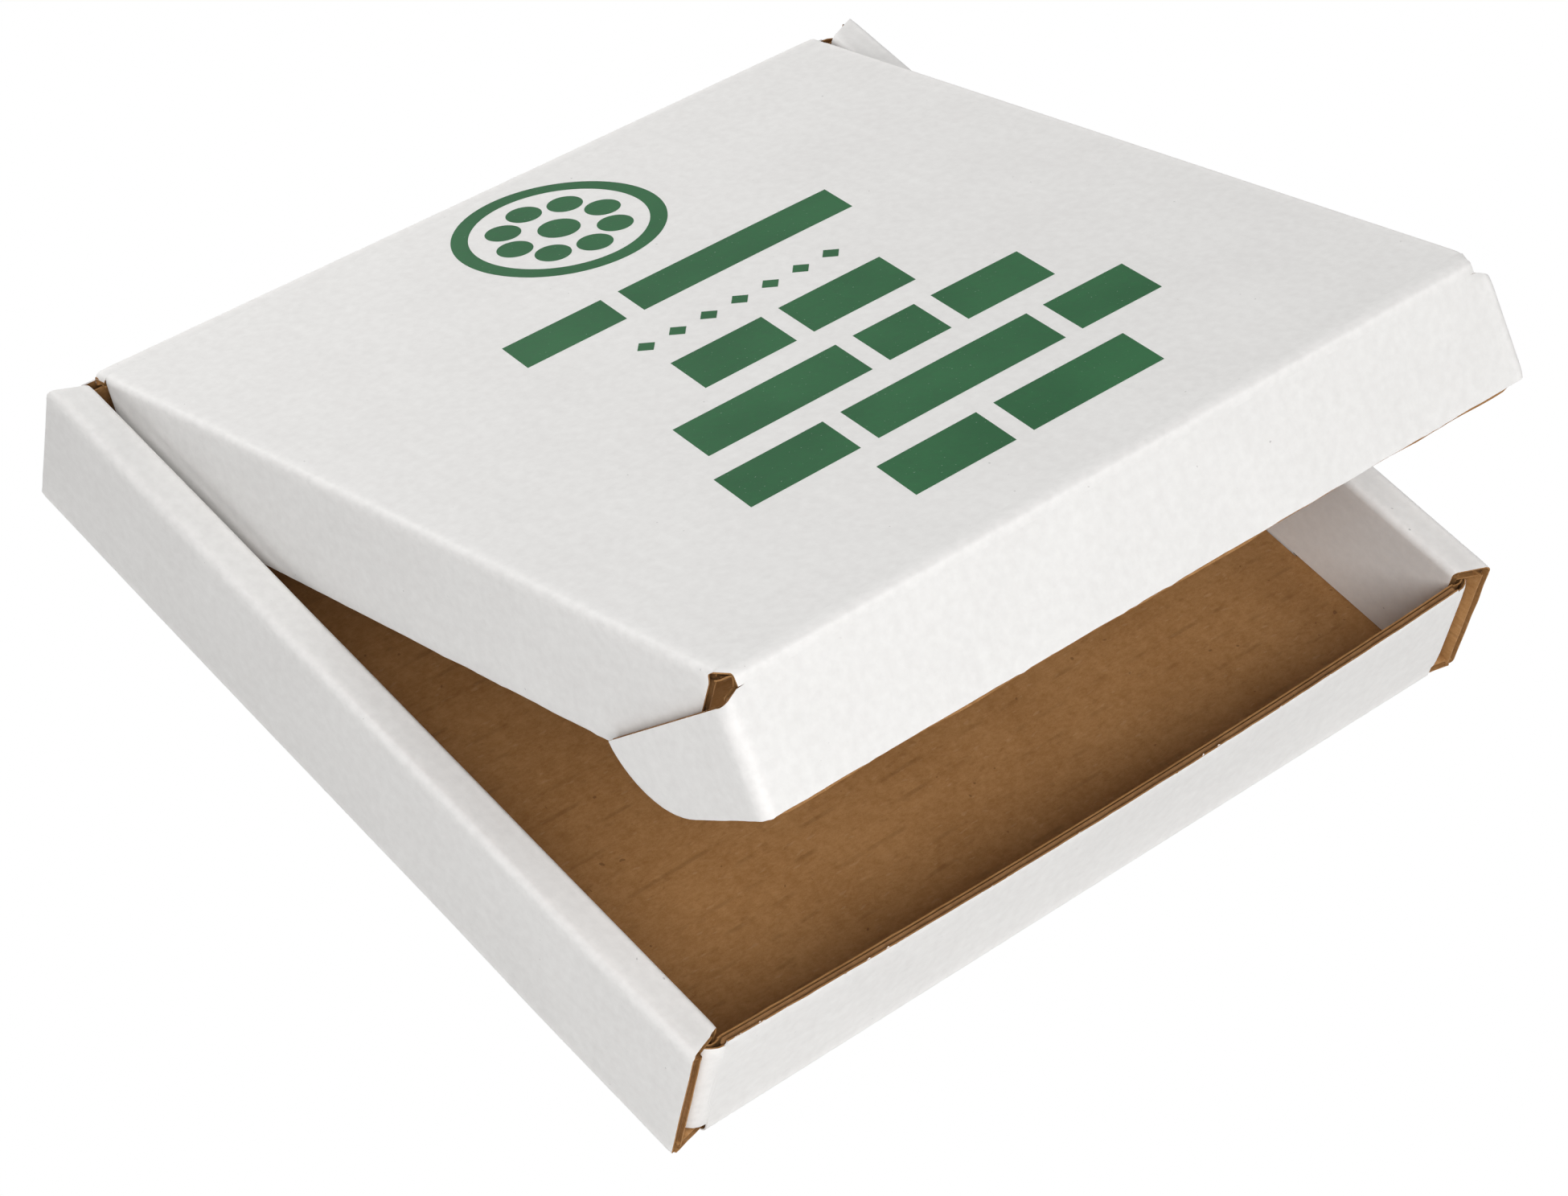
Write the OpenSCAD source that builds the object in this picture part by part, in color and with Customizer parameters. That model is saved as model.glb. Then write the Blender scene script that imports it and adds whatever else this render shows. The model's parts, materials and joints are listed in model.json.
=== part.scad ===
// Roll end tuck front mailer box, cut from one sheet of corrugated board and folded.
// Millimetres. X runs to the right along the front wall, Y to the back, Z up.
// The origin is the middle of the base, on the surface that the box stands on.
// The lid stands part open, and its tuck flap has sprung out of its fold.

/* [Board] */
// Thickness of the corrugated board
board_t = 3; // [2.6:0.1:3.6]
// Thickness of the ears, which the folding press has rolled flatter
ear_t = 2.2; // [1.6:0.1:2.4]
// Radius on the outside of every fold
fold_r = 2.4; // [1:0.1:2.4]
// Radius on the outside of the folds between the cross walls and their corner tabs
tab_fold_r = 4.2; // [2.4:0.1:5]

/* [Cut edges] */
// Distance from one flute of the board to the next
flute_pitch = 6.5; // [5:0.5:9]
// Thickness of the papers that the board is made of
paper_t = 0.5; // [0.3:0.05:0.7]
// Depth of the flutes that open at the lid's edges
flute_depth = 3; // [1:0.5:6]
// Width of the slit along an edge that is cut in line with the flutes
slit_w = 0.8; // [0.4:0.1:1.2]
// Depth of that slit
slit_d = 1.2; // [0.4:0.1:2]

/* [Tray] */
// Width over the two rolled side walls
tray_w = 240; // [180:1:320]
// Depth from the face of the front wall to the face of the back wall
tray_d = 219; // [160:1:300]
// Height of the rolled side walls
side_h = 33.6; // [28:0.2:60]
// Height of the front wall
front_h = 31; // [24:0.2:56]
// Length of the corner tabs that run back inside the rolls
tab_len = 58; // [30:1:75]
// Cut off the corners at the free end of each corner tab
tab_chamfer = 7; // [2:0.5:10]
// Step back of the base at its four corners, where the board is notched
corner_notch = 1; // [0.4:0.1:2]

/* [Floor locks] */
// Length of each lock at the foot of an inner side panel
lock_len = 28; // [12:1:40]
// Distance of the locks from the middle of the box
lock_y = 52; // [30:1:60]
// Space round a lock in its slot
lock_gap = 0.3; // [0.2:0.1:0.6]
// Height of the lock's end above the surface that the box stands on
lock_lift = 0.4; // [0.2:0.1:1]

/* [Lid] */
// Angle of the lid above its closed place
lid_open = 23.5; // [0:0.5:60]
// Height of the hinge crease above the base
hinge_h = 31.6; // [26:0.2:58]
// Depth of the lid's side panels below its top face
lid_side_h = 29.7; // [20:0.1:56]
// Slant of the front edge of each side panel, back from square
lid_front_slant = 25; // [0:1:35]
// Slant of the back edge of each side panel, forward from square
lid_back_slant = 14; // [0:1:25]
// Start of the side panels in front of the hinge crease
lid_side_start = 3.5; // [2.5:0.1:8]
// Cut off each front corner of the lid, along its side fold
lid_corner_cut = 4.2; // [3.2:0.1:8]
// Cut off each front corner of the lid, along its front fold
lid_corner_in = 2.6; // [1:0.1:4]

/* [Tuck flap] */
// Angle of the tuck flap, outward from square to the lid
flap_tilt = 21; // [0:0.5:40]
// Depth of the tuck flap below the lid's top face
flap_h = 29.2; // [20:0.1:55]
// Reach of each ear behind the face of the tuck flap
ear_len = 45; // [25:0.5:60]
// Radius of each ear's lower back corner
ear_r = 20; // [6:0.5:24]
// Slope of each ear's top edge
ear_slope = 9.2; // [0:0.1:15]
// Start of each ear below the front fold of the lid
ear_start = 4.2; // [2.5:0.1:6]

/* [Clearances] */
// Space between an outer side wall and the corner tab inside its roll
roll_gap_out = 0.4; // [0.2:0.1:2]
// Space between a corner tab and the inner side panel
roll_gap_in = 0.2; // [0.2:0.1:1]
// Space above and below a corner tab in its roll
tab_gap = 0.4; // [0.2:0.1:1]
// Space between an end of a roll's inner panel and the wall that it meets
panel_gap = 0.4; // [0.2:0.1:1]
// Space between the ears and the rolls
ear_gap = 0.3; // [0.2:0.1:1]
// Space between the ears and the lid's side panels
side_gap = 0.3; // [0.2:0.1:1]
// Space between the tuck flap and the front wall when the box is shut
tuck_gap = 2; // [1.8:0.1:4]
// Space round the board at a crease that bends
crease_gap = 0.3; // [0.2:0.05:0.5]

/* [Print] */
// Thickness of the printed fields
ink_t = 0.12; // [0.08:0.01:0.3]
// Distance from the hinge crease to the middle of the rosette
rosette_u = 31; // [25:0.5:45]
// Radius of the rosette's ring
rosette_r = 25; // [16:0.5:28]
// Petals in the rosette
petals = 8; // [5:1:12]
// Distance from the hinge crease to the middle of the heading band
heading_u = 74; // [66:0.5:80]
// Length of the heading band
heading_len = 100; // [60:1:160]
// Height of the heading band
heading_h = 12; // [6:0.5:16]
// Distance from the hinge crease to the row of diamonds
diamond_u = 94; // [88:0.5:97]
// Diamonds in the row
diamonds = 7; // [3:2:11]
// Distance between neighbouring diamonds
diamond_step = 9; // [8:0.5:12]
// Width of a diamond over its points
diamond_w = 5; // [3:0.5:7]
// Distance from the hinge crease to the middle of the first broad band
band_u = 112; // [106:0.5:118]
// Distance between neighbouring broad bands
band_step = 23.5; // [20:0.5:24]
// Height of a broad band
band_h = 15; // [8:0.5:18]
// Unit of the lengths of the blocks
block_unit = 2; // [1:0.1:2.4]
// Space between the blocks of a band
block_gap = 5; // [2:0.5:8]
// Lean of the block ends
block_lean = 3; // [0:0.5:5]

/* [Hidden] */
$fn = 48;
eps = 0.01;

// How far a cutting shape reaches past the board
over = board_t / 3;

// The roll, from its outer face inwards: outer wall, space, corner tab, space, inner panel
roll_w = 3 * board_t + roll_gap_out + roll_gap_in;
inner_half = tray_w / 2 - roll_w;
tab_face = tray_w / 2 - board_t - roll_gap_out;
tab_top = side_h - board_t - tab_gap;
tab_foot = board_t + tab_gap;
roll_end = board_t + panel_gap;

// The lid, measured from its hinge crease, with its board's middle on the crease
hinge_y = tray_d / 2 - board_t / 2;
lid_len = tray_d - 2 * board_t - tuck_gap;
ear_half = inner_half - ear_gap;
lid_half = ear_half - ear_t - side_gap;
lid_front_half = lid_half - lid_corner_in;
flap_fold = 90 - flap_tilt;
flap_reach = flap_h - board_t / 2;
crease_r = board_t / 2 + crease_gap;

// A fold in section: board_t square, with its outer corner at the origin rounded off
module fold_corner(r = fold_r) {
    difference() {
        square(board_t);
        difference() {
            translate([-eps, -eps]) square(r + eps);
            translate([r, r]) circle(r);
        }
    }
}

// A soft upright fold in plan: two short legs of board, with the outer corner at the origin rounded off
module soft_corner(r = tab_fold_r) {
    leg = max(r, board_t);
    difference() {
        square(leg);
        translate([board_t, board_t]) square(leg);
        difference() {
            translate([-eps, -eps]) square(r + eps);
            translate([r, r]) circle(r);
        }
    }
}

// Ends of the flutes on a cut edge: X along the edge, Y into the board from its outer face
module flute_mouths(len, thick) {
    count = floor(2 * len / flute_pitch) - 1;
    foot = flute_pitch / 2 - 1.4 * paper_t;
    tip = 0.8 * paper_t;
    high = thick / 2 - paper_t;
    for (i = [0 : count - 1])
        translate([(i - (count - 1) / 2) * flute_pitch / 2, thick / 2]) mirror([0, i % 2])
            polygon([[-foot, -high], [foot, -high], [tip, high - paper_t], [-tip, high - paper_t]]);
}

// Slit in profile, between two points of a slanted cut edge, reaching to one side of it
module edge_slit(a, b, side) {
    polygon([
        a + [side * slit_d, 0],
        b + [side * slit_d, 0],
        b - [side * over, 0],
        a - [side * over, 0],
    ]);
}

// Section of a rolled side wall: X is the distance inwards from its outer face, and Y is the height
module roll_section() {
    fold_corner();
    translate([0, board_t]) square([board_t, side_h - 2 * board_t]);
    translate([0, side_h]) mirror([0, 1]) fold_corner();
    translate([board_t, side_h - board_t]) square([roll_w - 2 * board_t, board_t]);
    translate([roll_w, side_h]) rotate(180) fold_corner();
    translate([roll_w - board_t, board_t]) square([board_t, side_h - 2 * board_t]);
}

// What is cut off the back end of a roll: its top slants in to clear the corner fold
module roll_end_cut() {
    polygon([
        [board_t, tray_d / 2],
        [roll_w - board_t, tray_d / 2 - roll_end],
        [roll_w + over, tray_d / 2 - roll_end],
        [roll_w + over, tray_d / 2 + over],
        [board_t, tray_d / 2 + over],
    ]);
}

// Slit in the board of a roll, in section: the roll's middle line, as wide as a slit
module roll_slit_section() {
    near = (board_t - slit_w) / 2;
    far = roll_w - near;
    difference() {
        translate([near, board_t]) square([far - near, side_h - board_t - near]);
        translate([near + slit_w, 0]) square([far - near - 2 * slit_w, side_h - near - slit_w]);
    }
}

// Where that slit lies in plan: a slit's depth behind the back end of the roll
module roll_slit_plan() {
    polygon([
        [0, tray_d / 2 - slit_d],
        [board_t, tray_d / 2 - slit_d],
        [roll_w - board_t, tray_d / 2 - roll_end - slit_d],
        [roll_w, tray_d / 2 - roll_end - slit_d],
        [roll_w, tray_d / 2 + over],
        [0, tray_d / 2 + over],
    ]);
}

// The left side wall with its roll, and the slots' locks at the foot of its inner panel
module side_wall() {
    translate([-tray_w / 2, 0, 0]) {
        difference() {
            translate([0, tray_d / 2, 0]) rotate([90, 0, 0])
                linear_extrude(tray_d) roll_section();
            for (end = [0, 1]) mirror([0, end, 0]) {
                translate([0, 0, board_t]) linear_extrude(side_h) roll_end_cut();
                intersection() {
                    translate([0, tray_d, 0]) rotate([90, 0, 0])
                        linear_extrude(tray_d) roll_slit_section();
                    linear_extrude(side_h) roll_slit_plan();
                }
            }
        }
        for (side = [-1, 1])
            translate([roll_w - board_t, side * lock_y - lock_len / 2, lock_lift])
                cube([board_t, lock_len, board_t]);
    }
}

// The base, with slots for the locks and a notch at each corner
module base() {
    half_w = tray_w / 2 - board_t;
    half_d = tray_d / 2;
    step_x = tab_face - tab_fold_r;
    difference() {
        linear_extrude(board_t) difference() {
            square([2 * half_w, 2 * (half_d - board_t)], center = true);
            for (sx = [-1, 1], sy = [-1, 1])
                translate([sx * (inner_half + board_t / 2), sy * lock_y])
                    square([board_t + 2 * lock_gap, lock_len + 2 * lock_gap], center = true);
        }
    }
    linear_extrude(board_t) for (sx = [-1, 1], sy = [-1, 1])
        translate([sx * (step_x + half_w) / 2, sy * (half_d - (board_t + corner_notch) / 2)])
            square([half_w - step_x, board_t - corner_notch + 2 * eps], center = true);
}

// Corner tab with its upright fold, at the right end of the front wall
module corner_tab() {
    translate([tab_face, -tray_d / 2, tab_foot]) linear_extrude(tab_top - tab_foot)
        mirror([1, 0]) soft_corner();
    tab_h = tab_top - tab_foot;
    reach = tab_len - tab_fold_r;
    translate([tab_face - board_t, -tray_d / 2 + tab_fold_r, tab_foot])
        rotate([90, 0, 90]) linear_extrude(board_t)
            polygon([
                [0, 0],
                [reach - tab_chamfer, 0],
                [reach, tab_chamfer],
                [reach, tab_h - tab_chamfer],
                [reach - tab_chamfer, tab_h],
                [0, tab_h],
            ]);
}

// A wall across the box, in place at the front: folded up from the base, with a tab at each end
module cross_wall(top_h, top_half) {
    half = tab_face - tab_fold_r;
    rotate([90, 0, 90]) translate([-tray_d / 2, 0, -half])
        linear_extrude(2 * half) fold_corner();
    translate([0, -tray_d / 2 + board_t, 0]) rotate([90, 0, 0]) linear_extrude(board_t)
        polygon([
            [-half, board_t],
            [half, board_t],
            [half, tab_top],
            [top_half, tab_top],
            [top_half, top_h],
            [-top_half, top_h],
            [-top_half, tab_top],
            [-half, tab_top],
        ]);
    for (end = [0, 1]) mirror([end, 0, 0]) corner_tab();
}

// The tray: base, front wall, back wall and the two rolled side walls, folded from one sheet
module tray() {
    color("white") {
        base();
        for (end = [0, 1]) mirror([end, 0, 0]) side_wall();
        difference() {
            cross_wall(front_h, inner_half - panel_gap);
            translate([0, -tray_d / 2 + 0.6 * board_t, front_h])
                cube([2 * inner_half, slit_w, 2 * slit_d], center = true);
        }
        mirror([0, 1, 0]) cross_wall(hinge_h, lid_half);
        translate([-lid_half, hinge_y, hinge_h]) rotate([0, 90, 0])
            cylinder(h = 2 * lid_half, r = board_t / 2);
    }
}

// Space that a crease needs: round the board that it bends on, and behind it
module crease_clear(half) {
    reach = half + over;
    translate([-reach, 0, 0]) rotate([0, 90, 0]) cylinder(h = 2 * reach, r = crease_r);
    translate([-reach, -crease_r, -2 * board_t]) cube([2 * reach, 2 * crease_r, 2 * board_t]);
}

// Section of the lid: X across the box, Y up, with the board's middle at height 0
module lid_section() {
    translate([-lid_half + board_t, -board_t / 2]) square([2 * (lid_half - board_t), board_t]);
    for (end = [0, 1]) mirror([end, 0]) {
        translate([lid_half, board_t / 2]) rotate(180) fold_corner();
        translate([lid_half - board_t, board_t / 2 - lid_side_h])
            square([board_t, lid_side_h - board_t]);
    }
}

// Outline of the lid from above, with its front corners cut
module lid_plan() {
    polygon([
        [-lid_half, 0],
        [lid_half, 0],
        [lid_half, lid_corner_cut - lid_len],
        [lid_front_half, -lid_len],
        [-lid_front_half, -lid_len],
        [-lid_half, lid_corner_cut - lid_len],
    ]);
}

// Outline of the lid from the side: the board of the top, and the slanted side panels below it
module lid_profile() {
    drop = lid_side_h - board_t;
    front = lid_corner_cut - lid_len;
    polygon([
        [0, board_t],
        [-lid_len, board_t],
        [-lid_len, -board_t / 2],
        [front, -board_t / 2],
        [front + drop * tan(lid_front_slant), -board_t / 2 - drop],
        [-lid_side_start - drop * tan(lid_back_slant), -board_t / 2 - drop],
        [-lid_side_start, -board_t / 2],
        [0, -board_t / 2],
    ]);
}

// Slits and flute ends along the edges of the lid's right side panel
module lid_side_cuts() {
    drop = lid_side_h - board_t;
    front = lid_corner_cut - lid_len;
    low = -board_t / 2 - drop;
    front_low = front + drop * tan(lid_front_slant);
    back_low = -lid_side_start - drop * tan(lid_back_slant);
    translate([lid_half - (board_t + slit_w) / 2, 0, 0]) rotate([90, 0, 90]) linear_extrude(slit_w) {
        edge_slit([front, -board_t / 2], [front_low, low], 1);
        edge_slit([-lid_side_start, -board_t / 2], [back_low, low], -1);
    }
    translate([lid_half, (front_low + back_low) / 2, low - over]) rotate(90)
        linear_extrude(flute_depth + over)
            flute_mouths(back_low - front_low - 4 * slit_d, board_t);
}

// The lid as it lies when shut, with its hinge crease on the X axis
module lid_shut() {
    difference() {
        intersection() {
            rotate([90, 0, 0]) linear_extrude(lid_len) lid_section();
            translate([0, 0, -lid_side_h]) linear_extrude(2 * lid_side_h) lid_plan();
            translate([-lid_half - over, 0, 0]) rotate([90, 0, 90])
                linear_extrude(2 * (lid_half + over)) lid_profile();
        }
        crease_clear(lid_half);
        for (end = [0, 1]) mirror([end, 0, 0]) lid_side_cuts();
    }
    translate([-lid_front_half, -lid_len, 0]) rotate([0, 90, 0])
        cylinder(h = 2 * lid_front_half, r = board_t / 2);
}

// Turns what is drawn in the shut lid's place to the lid's open angle
module on_lid() {
    translate([0, hinge_y, hinge_h]) rotate([-lid_open, 0, 0]) children();
}

// The lid: its panel and its two side panels, folded square
module lid() {
    color("white") on_lid() lid_shut();
}

// Section of the tuck flap: its panel along X, and the ears bent square behind it
module flap_section() {
    bend = max(fold_r, ear_t);
    translate([-ear_half + bend, -board_t / 2]) square([2 * (ear_half - bend), board_t]);
    for (end = [0, 1]) mirror([end, 0]) {
        intersection() {
            translate([ear_half, board_t / 2]) rotate(180) fold_corner();
            translate([ear_half - bend, -board_t]) square([bend, 2 * board_t]);
        }
        translate([ear_half - ear_t, board_t / 2 - ear_len]) square([ear_t, ear_len - bend]);
    }
}

// Outline of the tuck flap laid flat, with its upper corners cut back to the ears
module flap_plan() {
    polygon([
        [-lid_front_half, 0],
        [lid_front_half, 0],
        [lid_front_half, -crease_r],
        [ear_half, -ear_start],
        [ear_half, -flap_reach],
        [-ear_half, -flap_reach],
        [-ear_half, -ear_start],
        [-lid_front_half, -crease_r],
    ]);
}

// Outline of an ear from the side: sloping top edge, and a lower back corner with a large radius
module ear_profile() {
    back = board_t / 2 - ear_len;
    round_r = min(ear_r, flap_reach - ear_start - over);
    intersection() {
        polygon([
            [-flap_reach, board_t],
            [0, board_t],
            [0, -board_t / 2],
            [-ear_start, -board_t / 2],
            [-ear_start + (back + board_t / 2) * tan(ear_slope), back],
            [-flap_reach, back],
        ]);
        union() {
            translate([round_r - flap_reach, back + round_r]) circle(round_r);
            translate([-flap_reach, back + round_r]) square([2 * flap_reach, ear_len]);
            translate([round_r - flap_reach, back]) square([2 * flap_reach, ear_len]);
        }
    }
}

// Slit and flute ends along the edges of the right ear
module ear_cuts() {
    back = board_t / 2 - ear_len;
    top_x = -ear_start + (back + board_t / 2) * tan(ear_slope);
    slit = slit_w * ear_t / board_t;
    mouth_top = top_x - 2 * over;
    translate([ear_half - (ear_t + slit) / 2, 0, 0]) rotate([90, 0, 90]) linear_extrude(slit)
        edge_slit([-ear_start, -board_t / 2], [top_x, back], -1);
    difference() {
        translate([ear_half, (mouth_top - flap_reach) / 2, -ear_len]) rotate(90)
            linear_extrude(ear_len) flute_mouths(flap_reach + mouth_top - 2 * over, ear_t);
        translate([0, 0, flute_depth]) rotate([90, 0, 90]) linear_extrude(ear_half + over) ear_profile();
    }
}

// The tuck flap laid flat in front of the lid, with its crease on the X axis
module flap_flat() {
    difference() {
        intersection() {
            rotate([90, 0, 0]) linear_extrude(flap_reach) flap_section();
            translate([0, 0, -ear_len]) linear_extrude(2 * ear_len) flap_plan();
            translate([-ear_half - over, 0, 0]) rotate([90, 0, 90])
                linear_extrude(2 * (ear_half + over)) ear_profile();
        }
        crease_clear(ear_half);
        for (end = [0, 1]) mirror([end, 0, 0]) ear_cuts();
        translate([0, -flap_reach, -0.1 * board_t])
            cube([2 * (ear_half - board_t), 2 * slit_d, slit_w], center = true);
    }
}

// The tuck flap: its panel and its two ears, bent square behind it
module tuck_flap() {
    color("white") on_lid() translate([0, -lid_len, 0]) rotate([flap_fold, 0, 0]) flap_flat();
}

// A block of a printed band, with leaning ends
module block(len, height) {
    lean = block_lean * height / band_h / 2;
    polygon([
        [-len / 2 - lean, -height / 2],
        [len / 2 - lean, -height / 2],
        [len / 2 + lean, height / 2],
        [-len / 2 + lean, height / 2],
    ]);
}

// A printed band of blocks whose lengths are given, centred on the lid
module band(lens, height) {
    total = sum(lens) + block_gap * (len(lens) - 1);
    for (i = [0 : len(lens) - 1])
        translate([-total / 2 + sum(lens, i) + block_gap * i + lens[i] / 2, 0])
            block(lens[i], height);
}

// Sum of the first n values of a list, or of them all
function sum(v, n = undef) =
    let (last = is_undef(n) ? len(v) : n) last == 0 ? 0 : v[last - 1] + sum(v, last - 1);

// Round emblem: a ring, a disc in its middle and petals between them
module rosette() {
    ring_w = rosette_r * 0.16;
    hub_r = rosette_r * 0.2;
    petal_r = rosette_r * 0.17;
    difference() {
        circle(rosette_r);
        circle(rosette_r - ring_w);
    }
    circle(hub_r);
    for (i = [0 : petals - 1])
        rotate(i * 360 / petals) translate([0, rosette_r * 0.52]) {
            circle(petal_r);
        }
}

// Small diamond
module diamond() {
    rotate(45) square(diamond_w / sqrt(2), center = true);
}

// Everything printed on the lid, seen from above with the hinge crease at the top
module print_plan() {
    rows = block_unit * [[13, 15], [23, 9, 13], [15, 27, 12], [14, 19]];
    translate([0, -rosette_u]) rosette();
    translate([0, -heading_u]) band([heading_len * 0.28, heading_len * 0.62], heading_h);
    for (i = [0 : diamonds - 1])
        translate([(i - (diamonds - 1) / 2) * diamond_step, -diamond_u]) diamond();
    for (i = [0 : len(rows) - 1])
        translate([0, -band_u - i * band_step]) band(rows[i], band_h);
}

// The printed fields: thin solids that lie on the lid's top face
module lid_print() {
    color("seagreen") on_lid() translate([0, 0, board_t / 2]) linear_extrude(ink_t) print_plan();
}

tray();
lid();
tuck_flap();
lid_print();
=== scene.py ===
# %% [markdown]
# # A roll end tuck front mailer, standing half open
# The real box is one die-cut sheet of corrugated board: a white outer liner, a fluted
# middle and a plain brown inner liner. Folding it gives a tray with double side walls,
# a lid with side panels, and a tuck flap with two ears.
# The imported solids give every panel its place. Here each panel is made again as the
# three papers that board is made of, so that each cut edge shows what is inside it.

import json
import math

import bmesh
import bpy
import numpy as np
from mathutils import Matrix, Vector


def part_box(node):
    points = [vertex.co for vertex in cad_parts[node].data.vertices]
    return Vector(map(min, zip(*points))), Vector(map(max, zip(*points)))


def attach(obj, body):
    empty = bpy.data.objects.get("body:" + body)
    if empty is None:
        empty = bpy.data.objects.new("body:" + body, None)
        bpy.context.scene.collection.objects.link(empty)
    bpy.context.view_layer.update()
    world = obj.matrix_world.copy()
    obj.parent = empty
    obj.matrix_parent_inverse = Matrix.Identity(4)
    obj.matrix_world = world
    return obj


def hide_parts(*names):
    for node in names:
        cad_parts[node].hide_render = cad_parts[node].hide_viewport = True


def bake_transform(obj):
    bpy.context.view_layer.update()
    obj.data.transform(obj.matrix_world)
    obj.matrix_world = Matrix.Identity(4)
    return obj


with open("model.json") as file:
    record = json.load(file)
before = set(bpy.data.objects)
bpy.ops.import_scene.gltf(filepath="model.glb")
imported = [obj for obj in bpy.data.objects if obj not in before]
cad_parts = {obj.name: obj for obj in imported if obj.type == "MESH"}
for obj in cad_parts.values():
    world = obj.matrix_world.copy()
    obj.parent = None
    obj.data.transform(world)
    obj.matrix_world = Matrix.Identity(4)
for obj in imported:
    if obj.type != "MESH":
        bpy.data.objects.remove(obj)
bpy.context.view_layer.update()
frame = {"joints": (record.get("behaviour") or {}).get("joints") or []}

# %% [markdown]
# ## The camera
# The photograph looks down on the box's front left corner with a long lens, and the
# picture is turned a little. A long lens keeps the sides nearly parallel, so the camera
# stands far off. It is easiest to say as a place, a compass bearing, a tilt and a roll.

# %% Place the camera
MM = 0.001
CAMERA_AT = (-545.7, -451.1, 749.8)
BEARING, LOOK_DOWN, ROLL = 50.95, 46.78, 12.99

camera = bpy.data.objects.new("camera", bpy.data.cameras.new("camera"))
camera.data.sensor_width, camera.data.lens = 36, 104.06
camera.data.clip_start, camera.data.clip_end = 0.05, 20
camera.matrix_world = (
    Matrix.Translation(Vector(CAMERA_AT) * MM)
    @ Matrix.Rotation(-math.radians(BEARING), 4, "Z")
    @ Matrix.Rotation(math.radians(90 - LOOK_DOWN), 4, "X")
    @ Matrix.Rotation(math.radians(ROLL), 4, "Z")
)
bpy.context.scene.collection.objects.link(camera)
bpy.context.scene.camera = camera
print("camera", CAMERA_AT, "mm, lens", round(camera.data.lens, 2), "mm")

# %% [markdown]
# ## Sizes
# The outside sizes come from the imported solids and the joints. The rest are the board's
# own sizes and the die's, in millimetres, as a carton maker would write them down.

# %% Read and name the sizes
tray_low, tray_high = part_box("tray")
joints = {joint["name"]: joint for joint in frame["joints"]}

BOARD = 3.0
LINER = 0.36
FLUTE = 6.5
MEDIUM = 0.26
FOLD_R = 2.4
CREASE_R = BOARD / 2
HALF_W = round((tray_high.x - tray_low.x) / 2 / MM, 3)
HALF_D = round((tray_high.y - tray_low.y) / 2 / MM, 3)
SIDE_H = round(tray_high.z / MM, 3)
FRONT_H = 31.0
HINGE_Y, HINGE_Z = (v / MM for v in joints["lid_hinge"]["pos_m"][1:])
LID_OPEN = -joints["lid_hinge"]["range_deg"][0]
LID_LEN = 211.0
FLAP_FOLD = 69.0
print("tray", 2 * HALF_W, "x", 2 * HALF_D, "x", round(SIDE_H, 1), "mm, lid open", LID_OPEN)

# %% [markdown]
# ## Shader maths
# A procedural material is a sum of small patterns. Written as nodes one by one it is
# hard to read, so a thin wrapper lets a socket be added, subtracted and multiplied like
# a number. Every other node comes from one method.

# %% A socket that behaves like a number
class Wire:
    """A socket of a material's node tree. Arithmetic on it adds Math nodes."""

    def __init__(self, paint, socket):
        self.paint, self.socket = paint, socket

    def math(self, operation, *others):
        return self.paint.node("ShaderNodeMath", {"operation": operation}, dict(enumerate((self, *others))))

    def __add__(self, other):
        return self.math("ADD", other)

    def __sub__(self, other):
        return self.math("SUBTRACT", other)

    def __mul__(self, other):
        return self.math("MULTIPLY", other)

    def ramp(self, low, high):
        """0 below low, 1 above high and a smooth step between them."""
        values = {"Value": self, "From Min": low, "From Max": high}
        return self.paint.node("ShaderNodeMapRange", {"interpolation_type": "SMOOTHSTEP"}, values)


# %% A material under construction
class Paint:
    """A new material with one Principled shader."""

    def __init__(self, name):
        self.material = bpy.data.materials.new(name)
        self.material.use_nodes = True
        self.tree = self.material.node_tree
        self.shader = self.tree.nodes["Principled BSDF"]

    def node(self, kind, settings, values, output=0):
        made = self.tree.nodes.new(kind)
        for key, value in settings.items():
            setattr(made, key, value)
        for key, value in values.items():
            self.put(made.inputs[key], value)
        return Wire(self, made.outputs[output])

    def put(self, socket, value):
        if isinstance(value, Wire):
            self.tree.links.new(value.socket, socket)
        else:
            socket.default_value = value

    def set(self, **values):
        for key, value in values.items():
            self.put(self.shader.inputs[key.replace("_", " ")], value)

    def sheet(self):
        """Place on the flat sheet in metres: x runs along the flutes, y across them."""
        return self.node("ShaderNodeAttribute", {"attribute_name": "sheet"}, {}, "Vector")

    def number(self, name):
        return self.node("ShaderNodeAttribute", {"attribute_name": name}, {}, "Fac")

    def noise(self, where, scale, detail=2.0, rough=0.5):
        values = {"Vector": where, "Scale": scale, "Detail": detail, "Roughness": rough}
        return self.node("ShaderNodeTexNoise", {}, values)

    def stretch(self, where, x, y, z=1.0):
        values = {0: where, 1: (x, y, z)}
        return self.node("ShaderNodeVectorMath", {"operation": "MULTIPLY"}, values, "Vector")

    def across(self, where):
        """The distance across the flutes, out of a place on the sheet."""
        return self.node("ShaderNodeSeparateXYZ", {}, {0: where}, "Y")

    def mix(self, share, one, other):
        """Between two colours."""
        return self.node("ShaderNodeMix", {"data_type": "RGBA"}, {0: share, 6: one, 7: other}, 2)

    def bump(self, height, distance, strength):
        """Feeds the shader's normal from a height, with its full depth in metres."""
        values = {"Height": height, "Distance": distance, "Strength": strength}
        self.set(Normal=self.node("ShaderNodeBump", {}, values))


def srgb(red, green, blue):
    """A colour as a picture editor gives it, 0 to 255, made linear."""
    part = [v / 255 for v in (red, green, blue)]
    return tuple(v / 12.92 if v <= 0.04045 else ((v + 0.055) / 1.055) ** 2.4 for v in part) + (1,)


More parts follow.
